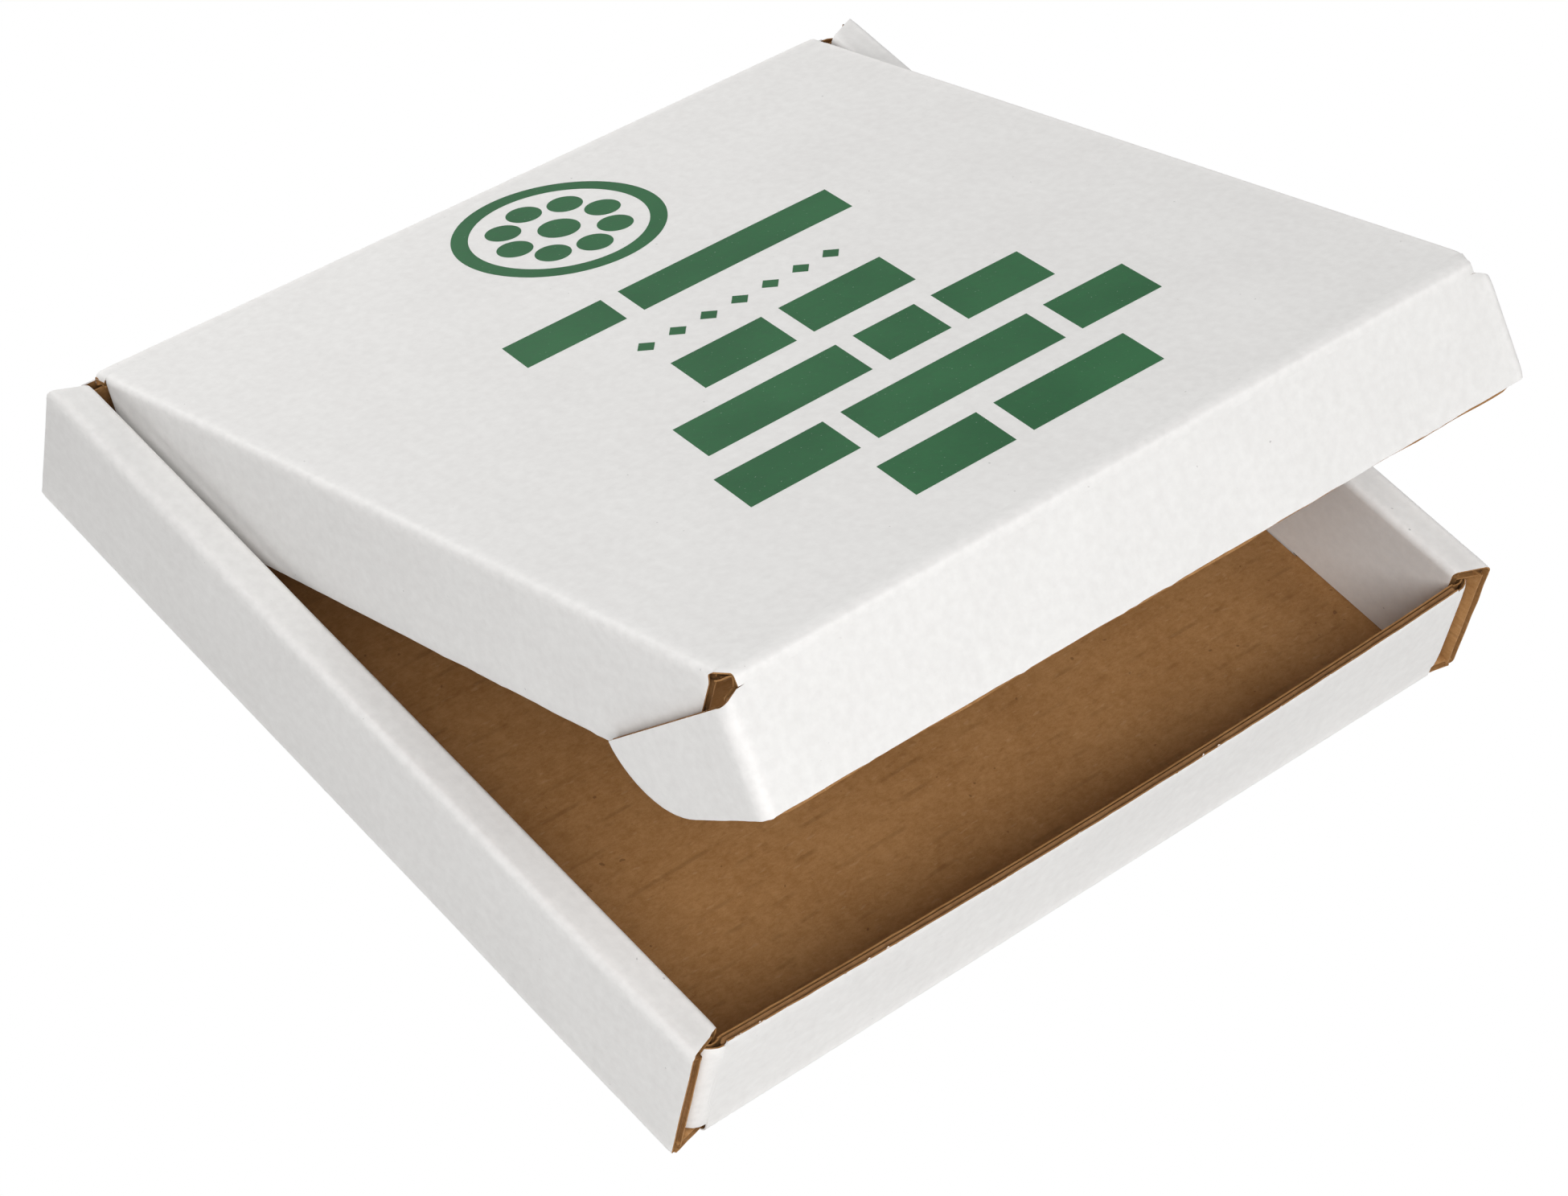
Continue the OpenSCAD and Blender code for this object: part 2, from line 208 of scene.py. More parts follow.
# %% [markdown]
# ## White liner
# The outside is bleached paper with a thin clay coating: nearly white, a touch warm,
# slightly cloudy, and not glossy. The flutes under it print through as a very faint
# washboard. Real paper also holds a few grey specks. Each of these is a noise or a wave
# at its own scale, laid out on the flat sheet so that the pattern turns with the folds.

# %% Make the white liner
def white_liner():
    paint = Paint("white_liner")
    sheet = paint.sheet()
    cloud = paint.noise(sheet, 45, 3.0)
    mottle = paint.noise(sheet, 420, 3.0, 0.6)
    fibre = paint.noise(paint.stretch(sheet, 0.45, 1.0), 2600, 2.0)
    speck = paint.noise(sheet, 730, 1.0).ramp(0.77, 0.81) * paint.noise(sheet, 47, 1.0).ramp(0.5, 0.6)
    wave = (paint.across(sheet) * (math.tau / (FLUTE * MM))).math("SINE")
    ridge = wave * paint.noise(sheet, 90, 1.0).ramp(0.3, 0.7)
    crease = paint.number("crease")
    tone = (cloud - 0.5) * 0.35 + (mottle - 0.5) * 0.7 + ridge * 0.03 + 0.5
    paper = paint.mix(tone.ramp(0.0, 1.0), srgb(226, 224, 222), srgb(242, 241, 239))
    # Lighter along the folds: partly whitened fibres of the bent paper, partly a painted highlight on the
    # folds' rounds.
    fold_wear_and_highlight = paint.mix(crease * (mottle.ramp(0.35, 0.65) * 0.3 + 0.35), paper, srgb(247, 245, 243))
    paint.set(Base_Color=paint.mix(speck * 0.6, fold_wear_and_highlight, srgb(168, 165, 164)))
    paint.set(Roughness=(fibre - 0.5) * 0.15 + 0.62, Specular_IOR_Level=0.28)
    height = ridge * 0.35 + mottle * 0.4 + fibre * 0.25 + crease * mottle * 0.15
    paint.bump(height, 0.00006, 0.9)
    return paint.material


# %% [markdown]
# ## Brown liner and fluting
# The inside is unbleached kraft. It is full of long fibres, some pale and some dark, and
# the flutes show as broken darker lines every 6.5 mm. The fluted middle paper is the
# same stuff, rougher and a little darker, and it is seen only at cut edges.

# %% Make the brown papers
def kraft(name, light, dark, lines):
    paint = Paint(name)
    sheet = paint.sheet()
    cloud = paint.noise(sheet, 38, 3.0)
    blotch = paint.noise(sheet, 330, 3.0, 0.6)
    fibre = paint.noise(paint.stretch(sheet, 0.55, 1.0), 1250, 3.0, 0.6)
    grain = paint.noise(sheet, 3400, 1.0)
    thread = paint.noise(paint.stretch(sheet, 0.3, 1.0, 1.7), 900, 1.0).ramp(0.66, 0.74)
    dark_thread = paint.noise(paint.stretch(sheet, 0.4, 1.0, 2.9), 640, 1.0).ramp(0.64, 0.72)
    dots = paint.noise(sheet, 480, 1.0).ramp(0.74, 0.79)
    swing = (paint.noise(paint.stretch(sheet, 0.3, 0.3), 60, 1.0) - 0.5) * 0.0012
    wave = ((paint.across(sheet) + swing) * (math.tau / (FLUTE * MM))).math("COSINE")
    broken = paint.noise(paint.stretch(sheet, 0.55, 1.0), 170, 2.0).ramp(0.46, 0.66)
    line = wave.ramp(0.80, 1.0) * broken
    tone = (cloud - 0.5) * 0.5 + (blotch - 0.5) * 0.55 + (fibre - 0.5) * 0.55 + (grain - 0.5) * 0.3 + 0.5
    paper = paint.mix(tone.ramp(0.1, 0.9), dark, light)
    flecked = paint.mix(thread * 0.16, paper, srgb(206, 172, 130))
    veined = paint.mix(dark_thread * 0.2, flecked, srgb(112, 76, 43))
    lined = paint.mix(line * lines, veined, tuple(0.55 * v for v in dark[:3]) + (1,))
    paint.set(Base_Color=paint.mix(dots * 0.5, lined, srgb(84, 56, 33)))
    paint.set(Roughness=(fibre - 0.5) * 0.2 + 0.72, Specular_IOR_Level=0.22)
    paint.bump(fibre * 0.5 + blotch * 0.3 + grain * 0.3 - line * 0.4 + wave * 0.12, 0.00008, 0.9)
    return paint.material


WHITE = white_liner()
KRAFT = kraft("brown_liner", srgb(180, 136, 88), srgb(145, 102, 57), 0.34)
FLUTING = kraft("fluting", srgb(168, 127, 84), srgb(128, 90, 55), 0.0)
print("papers:", WHITE.name, KRAFT.name, FLUTING.name)

# %% [markdown]
# ## Ink
# One flat colour is printed on the lid by a rubber plate. The ink lies thin and a bit
# uneven, with pinholes where the paper's grain took none.

# %% Make the ink
def ink():
    paint = Paint("green_ink")
    sheet = paint.sheet()
    mottle = paint.noise(sheet, 500, 3.0, 0.6)
    cloud = paint.noise(sheet, 30, 2.0)
    pinhole = paint.noise(sheet, 1500, 1.0).ramp(0.72, 0.78)
    tone = (mottle - 0.5) * 0.5 + (cloud - 0.5) * 0.9 + 0.5
    colour = paint.mix(tone.ramp(0.2, 0.8), srgb(22, 78, 42), srgb(38, 96, 56))
    paint.set(Base_Color=paint.mix(pinhole * 0.3, colour, srgb(170, 186, 174)))
    paint.set(Roughness=(mottle - 0.5) * 0.2 + 0.6, Specular_IOR_Level=0.16)
    paint.bump(mottle, 0.00004, 0.8)
    return paint.material


INK = ink()

# %% [markdown]
# ## How a folded board is drawn
# Every part of this box is a run of board: a section with folds, swept in a straight
# line. The section is the outline of the outer face, with a round at each fold, and with
# each of its points goes the way into the board. A point of any layer is then found by
# going in from the outer face by its depth. Past the fold's radius the inner layers
# meet at a mitre, as the crushed inner liner does.

# %% The section of a run of board
FOLD_STEPS = 6
FAR = 1e3
HAIR = 0.01
CREASE_REACH = 1.6


def marks(low, high, step, near=(), also=()):
    """Numbers from low to high, about step apart, closer near both ends, with chosen ones."""
    count = max(1, round((high - low) / step))
    found = set(np.linspace(low, high, count + 1).round(4))
    found |= {round(low + d, 4) for d in near} | {round(high - d, 4) for d in near}
    found |= {round(v, 4) for v in also}
    kept = sorted(v for v in found if low - 1e-4 <= v <= high + 1e-4)
    return np.array(kept)


class Section:
    """Points along the outer face of a folded sheet. The board lies on their left."""

    def __init__(self, corners, radius, step, near=(), also=()):
        self.rows = []
        corners = [np.array(c, float) for c in corners]
        legs = [b - a for a, b in zip(corners, corners[1:])]
        ways = [leg / np.linalg.norm(leg) for leg in legs]
        turns = [math.atan2(a[0] * b[1] - a[1] * b[0], a @ b) for a, b in zip(ways, ways[1:])]
        trims = [0.0] + [radius * math.tan(turn / 2) for turn in turns] + [0.0]
        run = 0.0
        for k, (leg, way) in enumerate(zip(legs, ways)):
            left = np.array([-way[1], way[0]])
            length = np.linalg.norm(leg) - trims[k] - trims[k + 1]
            start = corners[k] + way * trims[k]
            wanted = [v - run for v in also]
            for d in marks(0, length, step, near, wanted):
                self.rows.append((start + way * d, left, left, way, run + d, 0.0))
            run += length
            if k < len(turns):
                centre = start + way * length + left * radius
                middle = (left + np.array([-ways[k + 1][1], ways[k + 1][0]])) / 2
                mitre = middle / (middle @ middle)
                for i in range(1, FOLD_STEPS):
                    angle = turns[k] * i / FOLD_STEPS
                    cosine, sine = math.cos(angle), math.sin(angle)
                    spin = np.array([[cosine, -sine], [sine, cosine]])
                    inward = spin @ left
                    arc = run + radius * angle
                    self.rows.append((centre - inward * radius, inward, mitre, spin @ way, arc, 1.0))
                run += radius * turns[k]
        columns = [np.array(c) for c in zip(*self.rows)]
        self.outer, self.inward, self.mitre, self.way, self.run, self.bend = columns
        bends = self.run[self.bend > 0]
        gap = np.abs(self.run[:, None] - bends[None]).min(1) if len(bends) else self.run * 0 + FAR
        self.crease = np.exp(-((gap / CREASE_REACH) ** 2))


# %% [markdown]
# ## Papers as thin solids
# Each paper is a closed skin between two grids of points. Where grids meet along a fold
# or a seam, their points are joined and the walls between them are taken out, so that
# each paper is one clean solid. Two numbers go with every point: its place on the flat
# sheet, for the materials, and how close it is to a fold.
# The white paper is brown all through under its coating, so only the face that looks
# outward gets the white material.

# %% A thin solid between two grids
def slab(front, back, run, along, crease, skip=None, coat=None):
    """Points, faces and marks of the closed solid between two grids of the same shape. skip: cells
    left out. coat: points where the rim is a seam and not a cut, so that it looks like the outward face."""
    rows, columns = front.shape[:2]
    count = rows * columns
    index = np.arange(count).reshape(rows, columns)
    i, j = np.nonzero(np.ones((rows - 1, columns - 1), bool) if skip is None else ~skip)
    face = np.stack([index[i, j], index[i + 1, j], index[i + 1, j + 1], index[i, j + 1]], 1)
    edges = np.concatenate([face[:, [k, (k + 1) % 4]] for k in range(4)])
    forward, backward = edges[:, 0] * count + edges[:, 1], edges[:, 1] * count + edges[:, 0]
    rim = edges[~np.isin(forward, backward)]
    wall = np.stack([rim[:, 1], rim[:, 0], rim[:, 0] + count, rim[:, 1] + count], 1)
    points = np.concatenate([front.reshape(-1, 3), back.reshape(-1, 3)])
    sheet = np.stack([along, run, along * 0], -1).reshape(-1, 3)
    faces = np.concatenate([face, face[:, ::-1] + count, wall])
    outward = np.arange(len(faces)) < len(face)
    if coat is not None:
        outward[2 * len(face):] = coat.ravel()[rim].all(1)
    return points, faces, np.tile(sheet, (2, 1)), np.tile(crease.ravel(), 2), outward


# %% Join the papers of a piece into one mesh
JOIN = 0.002


def piece(name, layers):
    """One mesh from [(outward material, material of the rest, [slabs])]."""
    mesh = bpy.data.meshes.new(name)
    points, faces, sheets, creases, slots, first = [], [], [], [], [], 0
    materials = list(dict.fromkeys(material for layer in layers for material in layer[:2]))
    for material in materials:
        mesh.materials.append(material)
    for outside, rest, slabs in layers:
        shift = np.cumsum([0] + [len(s[0]) for s in slabs[:-1]])
        co = np.concatenate([s[0] for s in slabs])
        quads = np.concatenate([s[1] + k for s, k in zip(slabs, shift)])
        outward = np.concatenate([s[4] for s in slabs]).tolist()
        _, keep, where = np.unique((co / JOIN).round(), axis=0, return_index=True, return_inverse=True)
        quads = where.reshape(-1)[quads]
        seen = {}
        for quad, out in zip(quads.tolist(), outward):
            ring = [v for k, v in enumerate(quad) if v != quad[k - 1]]
            if len(set(ring)) > 2:
                seen.setdefault(frozenset(ring), []).append((ring, out))
        kept = [same[0] for same in seen.values() if len(same) == 1]
        points.append(co[keep])
        sheets.append(np.concatenate([s[2] for s in slabs])[keep])
        creases.append(np.concatenate([s[3] for s in slabs])[keep])
        faces += [[v + first for v in ring] for ring, out in kept]
        slots += [materials.index(outside if out else rest) for ring, out in kept]
        first += len(keep)
    mesh.from_pydata(np.concatenate(points) * MM, [], faces)
    mesh.polygons.foreach_set("material_index", slots)
    sheet = mesh.attributes.new("sheet", "FLOAT_VECTOR", "POINT")
    sheet.data.foreach_set("vector", (np.concatenate(sheets) * MM).astype(np.float32).ravel())
    crease = mesh.attributes.new("crease", "FLOAT", "POINT")
    crease.data.foreach_set("value", np.concatenate(creases).astype(np.float32))
    work = bmesh.new()
    work.from_mesh(mesh)
    loose = [v for v in work.verts if not v.link_faces]
    bmesh.ops.delete(work, geom=loose, context="VERTS")
    bmesh.ops.recalc_face_normals(work, faces=work.faces)
    work.to_mesh(mesh)
    work.free()
    mesh.shade_smooth()
    mesh.set_sharp_from_angle(angle=math.radians(38))
    made = bpy.data.objects.new(name, mesh)
    bpy.context.scene.collection.objects.link(made)
    print(name, len(mesh.vertices), "points,", len(mesh.polygons), "faces")
    return made


# %% [markdown]
# ## Uneven edges
# A steel rule cuts board by crushing it. The liners come together at the edge, the cut
# line wanders by a few tenths of a millimetre, and small burrs stand up where the rule
# has nicks. A table of seeded random numbers, joined smoothly, gives all of that.

# %% A line that wanders
TABLE, TABLE_START = 997, 400


def smooth(value):
    """A smooth step from 0 to 1."""
    share = np.clip(value, 0, 1)
    return share * share * (3 - 2 * share)


def wander(at, seed, size, grain):
    """Smooth noise along a line: size is its reach, and grain the length of one swing."""
    table = np.random.RandomState(seed).uniform(-1, 1, TABLE)
    place = np.asarray(at, float) / grain + TABLE_START
    low = np.floor(place).astype(int)
    share = smooth(place - low)
    return size * ((1 - share) * table[low % TABLE] + share * table[(low + 1) % TABLE])


def cut_line(at, seed, size=1.0):
    """How far a cut edge stands out of its line, with a burr here and there."""
    burr = np.maximum(wander(at, seed + 1, 1.0, 1.9) - 0.62, 0) * 1.3
    return size * (wander(at, seed, 0.16, 7.0) + wander(at, seed + 2, 0.09, 1.7) + burr)


# %% [markdown]
# ## A run of board
# This is the one tool that draws every panel. It knows the section, the straight line it
# is swept along, and how far the sweep reaches at each point of the section, which cuts
# chamfers, slants and rounds. From those it makes the outer liner, the inner liner and
# the fluted paper between them.

# %% The tool that draws a run of board
PINCH_REACH = 0.9
CREASE_DIP = 1.3
NEAR_EDGE = (0.35, 0.9, 1.8)
FLUTE_STEPS = 10
TUCKED, PLAY = 0.05, 0.06
SHOWN = 14


class Run:
    """A run of board. corners: its section. axes: an origin, then where the section's two axes and the
    sweep point. radius: of the folds on the outer face.
    low and high: how far the sweep reaches, as functions of the section. cuts: its cut edges.
    pinch: how far the outer and the inner paper are pressed in along a cut. rough: how uneven cuts are.
    open_low, open_high: where on the section those edges are cut, if only partly.
    thick: the board's thickness. drop, press: how far the outer face sinks, and how much thinner the
    board is pressed. lip: how far the inner paper stands out past the outer one. warp: bends it all."""

    def __init__(self, corners, axes, low, high, radius=FOLD_R, cuts="", seed=1, pinch=(0.35, 0.45),
                 rough=0.5, thick=None, warp=None, drop=None, press=None, lip=None,
                 open_low=None, open_high=None):
        self.corners, self.axes = corners, [np.array(v, float) for v in axes]
        self.low, self.high, self.radius = low, high, radius
        self.cuts, self.seed, self.warp = cuts.split(), seed, warp
        self.pinch, self.rough, self.open = pinch, rough, {"low": open_low, "high": open_high}
        self.thick = thick or (lambda section: section.run * 0 + BOARD)
        self.drop = drop or (lambda section, t: t * 0)
        self.press = press or (lambda section, t: t * 0)
        self.lip = lip or (lambda section: section.run * 0)

    def place(self, section, t, depth, slide=0.0):
        """World places of points at a depth under the outer face."""
        slide = np.broadcast_to(slide, t.shape)[..., None]
        flat = section.outer[:, None] + slide * section.way[:, None]
        flat = flat + np.minimum(depth, self.radius)[..., None] * section.inward[:, None]
        flat = flat + np.maximum(depth - self.radius, 0)[..., None] * section.mitre[:, None]
        local = np.concatenate([flat, t[..., None]], -1)
        if self.warp:
            local = self.warp(local)
        origin, a, b, c = self.axes
        return origin + local[..., 0:1] * a + local[..., 1:2] * b + local[..., 2:3] * c

    def edge(self, section, t):
        """Distance to the nearest cut edge."""
        away = t * 0 + FAR
        length = section.run[-1]
        for side, gap in (
            ("start", section.run[:, None] + t * 0),
            ("end", length - section.run[:, None] + t * 0),
            ("low", t - self.low(section)[:, None]),
            ("high", self.high(section)[:, None] - t),
        ):
            cut_here = self.open.get(side)
            if cut_here:
                cut = section.run[cut_here(section)]
                beside = np.abs(section.run[:, None] - cut[None]).min(1)[:, None]
                away = np.minimum(away, np.hypot(np.maximum(gap, 0), beside))
            elif side in self.cuts:
                away = np.minimum(away, gap)
        return np.maximum(away, 0)

    def grid(self, section, rows, absolute):
        low, high = self.low(section)[:, None], self.high(section)[:, None]
        return np.clip(rows[None] + low * 0, low, high) if absolute else low + (high - low) * rows[None]

    def liner(self, inner, rows, step=6.0, absolute=False, also=(), skip=None):
        """The outer or the inner paper."""
        section = Section(self.corners, self.radius, step, NEAR_EDGE, also)
        t = self.grid(section, rows, absolute)
        squeeze = self.pinch[inner] * np.exp(-self.edge(section, t) / PINCH_REACH)
        seed = self.seed * 10 + 5 * inner
        size = self.rough * (0.6 if inner else 1.0)
        slide = t * 0
        if "start" in self.cuts:
            slide[0] = -cut_line(t[0], seed, size)
        if "end" in self.cuts:
            slide[-1] = cut_line(t[-1], seed + 1, size)
        moved = t.copy()
        if "low" in self.cuts:
            moved[:, 0] -= cut_line(section.run, seed + 2, size)
        if "high" in self.cuts:
            moved[:, -1] += cut_line(section.run, seed + 3, size) + inner * self.lip(section)
        total = self.thick(section)[:, None] - self.press(section, t)
        drop = self.drop(section, t)
        top = total - squeeze - LINER if inner else squeeze + drop
        front, back = self.place(section, moved, top, slide), self.place(section, moved, top + LINER, slide)
        crease = section.crease[:, None] + t * 0
        hole = skip(section, t) if skip else None
        coat = np.zeros(t.shape, bool)
        coat[0], coat[-1] = "start" not in self.cuts, "end" not in self.cuts
        for column, side in ((0, "low"), (-1, "high")):
            cut_here = self.open[side]
            coat[:, column] = ~cut_here(section) if cut_here else side not in self.cuts
        return slab(front, back, section.run[:, None] + t * 0, t, crease, hole, coat)

    def fluting(self, across_section=False, rows=None, set_back=0.8, phase=0.0, show=None):
        """The fluted paper, where a cut edge shows it. Its waves follow each other along the
        sweep, or along the section."""
        if across_section:
            section = Section(self.corners, self.radius, FLUTE / FLUTE_STEPS)
            t = self.grid(section, rows, False)
            wave = np.sin((section.run[:, None] + t * 0 + phase) * math.tau / FLUTE)
        else:
            section = Section(self.corners, self.radius, 9.0)
            low, high = self.low(section)[:, None], self.high(section)[:, None]
            count = int((high.max() - low.min()) / FLUTE * FLUTE_STEPS) + 2
            lines = low.min() + np.arange(count) * FLUTE / FLUTE_STEPS
            back_low = set_back if "low" in self.cuts else TUCKED
            back_high = set_back if "high" in self.cuts else TUCKED
            t = np.clip(lines[None], low + back_low, np.maximum(high - back_high, low + back_low))
            wave = np.sin((t + phase) * math.tau / FLUTE)
        slide = t * 0
        slide[0] = set_back if "start" in self.cuts else TUCKED
        slide[-1] = -(set_back if "end" in self.cuts else TUCKED)
        total = self.thick(section)[:, None] - self.press(section, t)
        room = np.maximum(total - 2 * LINER - MEDIUM - PLAY, 0.1)
        squeeze = sum(self.pinch) / 2 * np.exp(-self.edge(section, t) / PINCH_REACH)
        calm = 1 - 0.5 * section.crease[:, None]
        middle = total / 2 + wave * np.maximum(room / 2 - squeeze, 0.05) * calm
        front = self.place(section, t, middle - MEDIUM / 2, slide)
        back = self.place(section, t, middle + MEDIUM / 2, slide)
        hidden = ~show(section, t)[:-1, :-1] if show else None
        return slab(front, back, section.run[:, None] + t * 0, t, t * 0, hidden)


def near_start(reach):
    """Shows the fluting near the start of a section only."""
    return lambda section, t: section.run[:, None] + t * 0 < reach


def near_ends(reach):
    """Shows the fluting near both ends of a sweep only."""
    return lambda section, t: (t < t.min(1, keepdims=True) + reach) | (t > t.max(1, keepdims=True) - reach)


def level(value):
    """The same reach all along a section."""
    return lambda section: section.run * 0 + value


# %% [markdown]
# ## The tray
# The base and its front and back walls are one run of board, swept across the box. The
# side walls are rolled: up, over and down inside, round the corner tabs that come off
# the ends of the front and back walls. The front wall's top edge bows out a little.

# %% Place the tray's parts
ROLL_W = 9.6
TAB_FACE = HALF_W - 3.4
TAB_FOLD_R = 6.0
CRUSH = 1.1
WALL_HALF = TAB_FACE - TAB_FOLD_R
ROLL_FOLD_R = 1.6
LID_FOLD_R = 1.5
PANEL_HALF = HALF_W - ROLL_W
PANEL_GAP = 0.4
TAB_TOP = SIDE_H - BOARD - 0.4
TAB_FOOT = BOARD + 0.4
TAB_END = 58.0 - HALF_D
TAB_CHAMFER = 7.0
ROLL_END = BOARD + 0.4
FOOT_CUT = 1.6
PANEL_FOOT = BOARD + 0.15
LOCK_Y, LOCK_LEN, LOCK_GAP = 52.0, 28.0, 0.3
LOCK_LIFT = 0.4
SWELL = 0.35
FRONT_BOW = 2.2
LID_HALF = 107.6


def bow_front(local):
    """Bends the top of the front wall outward in its middle. local holds y, z and x."""
    y, z, x = local[..., 0], local[..., 1], local[..., 2]
    front = smooth((-y - HALF_D + 12) / 6)
    rise = smooth((z - 2) / (FRONT_H * 1.3))
    across = 1 - np.clip(np.abs(x) / PANEL_HALF, 0, 1) ** 2
    local[..., 0] = y - FRONT_BOW * front * rise * across
    return local


# %% The base with the front and back walls
SWEEP_X = ((0, 0, 0), (0, 1, 0), (0, 0, 1), (1, 0, 0))


def wall_reach(section):
    """Half the width at each point. The front wall's top stands between the inner side panels."""
    y, z = section.outer[:, 0], section.outer[:, 1]
    top = (y < 0) & (z > TAB_TOP + HAIR)
    return np.where(top, PANEL_HALF - PANEL_GAP, WALL_HALF)


def fold_crush(section):
    """The board is crushed thinner round a soft fold."""
    share = np.clip((section.run - 0.5) / (TAB_FOLD_R * math.pi / 2), 0, 1)
    return BOARD - CRUSH * np.sin(share * math.pi)


def crease_dip(gap):
    """How much thinner the board is at a distance from a bending crease."""
    return CREASE_DIP * np.exp(-((gap / CREASE_REACH) ** 2))


def wall_press(section, t):
    """The back wall gets thinner towards the hinge crease."""
    y, z = section.outer[:, 0], section.outer[:, 1]
    gap = np.where(y > 0, HINGE_Z - z, FAR)[:, None]
    return crease_dip(gap) * (np.abs(t) < LID_HALF)


def lock_slots(section, t):
    """The grid cells of the base that the four lock slots take out."""
    y = section.outer[:, 0]
    mid_y = (y[1:] + y[:-1])[:, None] / 2
    flat = (section.outer[1:, 1] + section.outer[:-1, 1])[:, None] < HAIR
    mid_x = (t[:-1, 1:] + t[:-1, :-1]) / 2
    in_x = np.abs(np.abs(mid_x) - PANEL_HALF - BOARD / 2) < BOARD / 2 + LOCK_GAP
    in_y = np.abs(np.abs(mid_y) - LOCK_Y) < LOCK_LEN / 2 + LOCK_GAP
    return in_x & in_y & flat


front_drop = FRONT_H - FOLD_R
arc = FOLD_R * math.pi / 2
lock_run = [front_drop + arc + HALF_D - FOLD_R + side * LOCK_Y + end * (LOCK_LEN / 2 + LOCK_GAP)
            for side in (-1, 1) for end in (-1, 1)]
lock_cols = [side * (PANEL_HALF + v) for side in (-1, 1) for v in (-LOCK_GAP, BOARD + LOCK_GAP)]
back_start = 2 * arc + front_drop + 2 * (HALF_D - FOLD_R)
tab_run = [FRONT_H - TAB_TOP, FRONT_H - TAB_FOOT, back_start + TAB_FOOT - FOLD_R]
cross = Run(
    [(-HALF_D, FRONT_H), (-HALF_D, 0), (HALF_D, 0), (HALF_D, TAB_TOP)],
    SWEEP_X, lambda s: -wall_reach(s), wall_reach,
    cuts="start", seed=3, rough=0.8, warp=bow_front, press=wall_press,
)
x_rows = marks(-WALL_HALF, WALL_HALF, 2.7, (), lock_cols + [-LID_HALF, LID_HALF])
outer_papers = [cross.liner(False, x_rows, 5, True, lock_run + tab_run, lock_slots)]
inner_papers = [cross.liner(True, x_rows, 5, True, lock_run + tab_run, lock_slots)]
fluted_papers = [cross.fluting(True, np.linspace(0, 1, 60), phase=1.9, show=near_start(SHOWN))]

# %% [markdown]
# The four corner tabs fold off the ends of the walls and run inside the rolls. They are
# seen at the rolls' open ends. Mirrored axes give all four from one description.

# %% The corner tabs
def tab_low(section):
    reach = section.outer[:, 1] - TAB_END + TAB_CHAMFER
    return TAB_FOOT + np.clip(reach, 0, TAB_CHAMFER)


def tab_high(section):
    reach = section.outer[:, 1] - TAB_END + TAB_CHAMFER
    return TAB_TOP - np.clip(reach, 0, TAB_CHAMFER)


wall_rows = Section(cross.corners, FOLD_R, 5, NEAR_EDGE, lock_run + tab_run)
front_z = wall_rows.outer[(wall_rows.outer[:, 0] < -HALF_D + HAIR), 1]
back_z = wall_rows.outer[(wall_rows.outer[:, 0] > HALF_D - HAIR), 1]
for side in (-1, 1):
    for front, rows in ((-1, front_z), (1, back_z)):
        rows = np.sort(rows[(rows >= TAB_FOOT - HAIR) & (rows <= TAB_TOP + HAIR)])
        tab = Run(
            [(WALL_HALF, -HALF_D), (TAB_FACE, -HALF_D), (TAB_FACE, TAB_END)],
            ((0, 0, 0), (side, 0, 0), (0, -front, 0), (0, 0, 1)),
            tab_low, tab_high, TAB_FOLD_R, "end low high", seed=20 + side * 3 + front, thick=fold_crush,
        )
        outer_papers.append(tab.liner(False, rows, 7, True))
        inner_papers.append(tab.liner(True, rows, 7, True))
        fluted_papers.append(tab.fluting(phase=0.8))

# %% [markdown]
# A rolled side wall starts at the base, folds up, over the top and down inside, and ends
# in two locks that stand in slots of the base. Its open ends are cut back towards the
# inside, and the locks are steps in the end of its section.

# %% The rolled side walls
def roll_reach(section):
    """How far a roll reaches to each end: full at its outer wall, cut back at its inner panel."""
    inside = HALF_W - section.outer[:, 0]
    foot = FOOT_CUT * np.clip((inside - ROLL_FOLD_R) / (HALF_W - WALL_HALF - ROLL_FOLD_R), 0, 1)
    return HALF_D - np.where(section.outer[:, 1] < HAIR, foot, np.clip(inside / ROLL_W, 0, 1) * ROLL_END)


def swell_wall(local):
    """The outer side wall stands a few tenths of a millimetre out in its middle, as rolled board does."""
    x, z, y = local[..., 0], local[..., 1], local[..., 2]
    middle = np.sin(np.clip(z / SIDE_H, 0, 1) * math.pi) * (1 - (y / HALF_D) ** 2)
    outer = smooth((x - HALF_W + 4) / 2)
    local[..., 0] = x + SWELL * middle * outer + wander(y, 71, 0.12, 34) * outer
    local[..., 1] = z + wander(y, 72, 0.10, 29) * smooth((z - 30) / 3)
    return local


y_rows = marks(-1, 1, 2.6 / HALF_D, [d / HALF_D for d in NEAR_EDGE])
y_rows = (y_rows + 1) / 2
for side in (-1, 1):
    roll = Run(
        [(WALL_HALF, 0), (HALF_W, 0), (HALF_W, SIDE_H), (PANEL_HALF, SIDE_H), (PANEL_HALF, PANEL_FOOT)],
        ((0, 0, 0), (side, 0, 0), (0, 0, 1), (0, 1, 0)),
        lambda s: -roll_reach(s), roll_reach, ROLL_FOLD_R, "low high",
        seed=40 + side, pinch=(0.15, 0.3), warp=swell_wall,
    )
    outer_papers.append(roll.liner(False, y_rows, 5))
    inner_papers.append(roll.liner(True, y_rows, 5))
    fluted_papers.append(roll.fluting(phase=0.0, show=near_ends(SHOWN)))
    for place in (-LOCK_Y, LOCK_Y):
        lock = Run(
            [(PANEL_HALF, PANEL_FOOT), (PANEL_HALF, LOCK_LIFT)],
            ((0, 0, 0), (side, 0, 0), (0, 0, 1), (0, 1, 0)),
            level(place - LOCK_LEN / 2), level(place + LOCK_LEN / 2), ROLL_FOLD_R, "end low high", seed=50,
        )
        outer_papers.append(lock.liner(False, np.linspace(0, 1, 16)))
        inner_papers.append(lock.liner(True, np.linspace(0, 1, 16)))
        fluted_papers.append(lock.fluting())

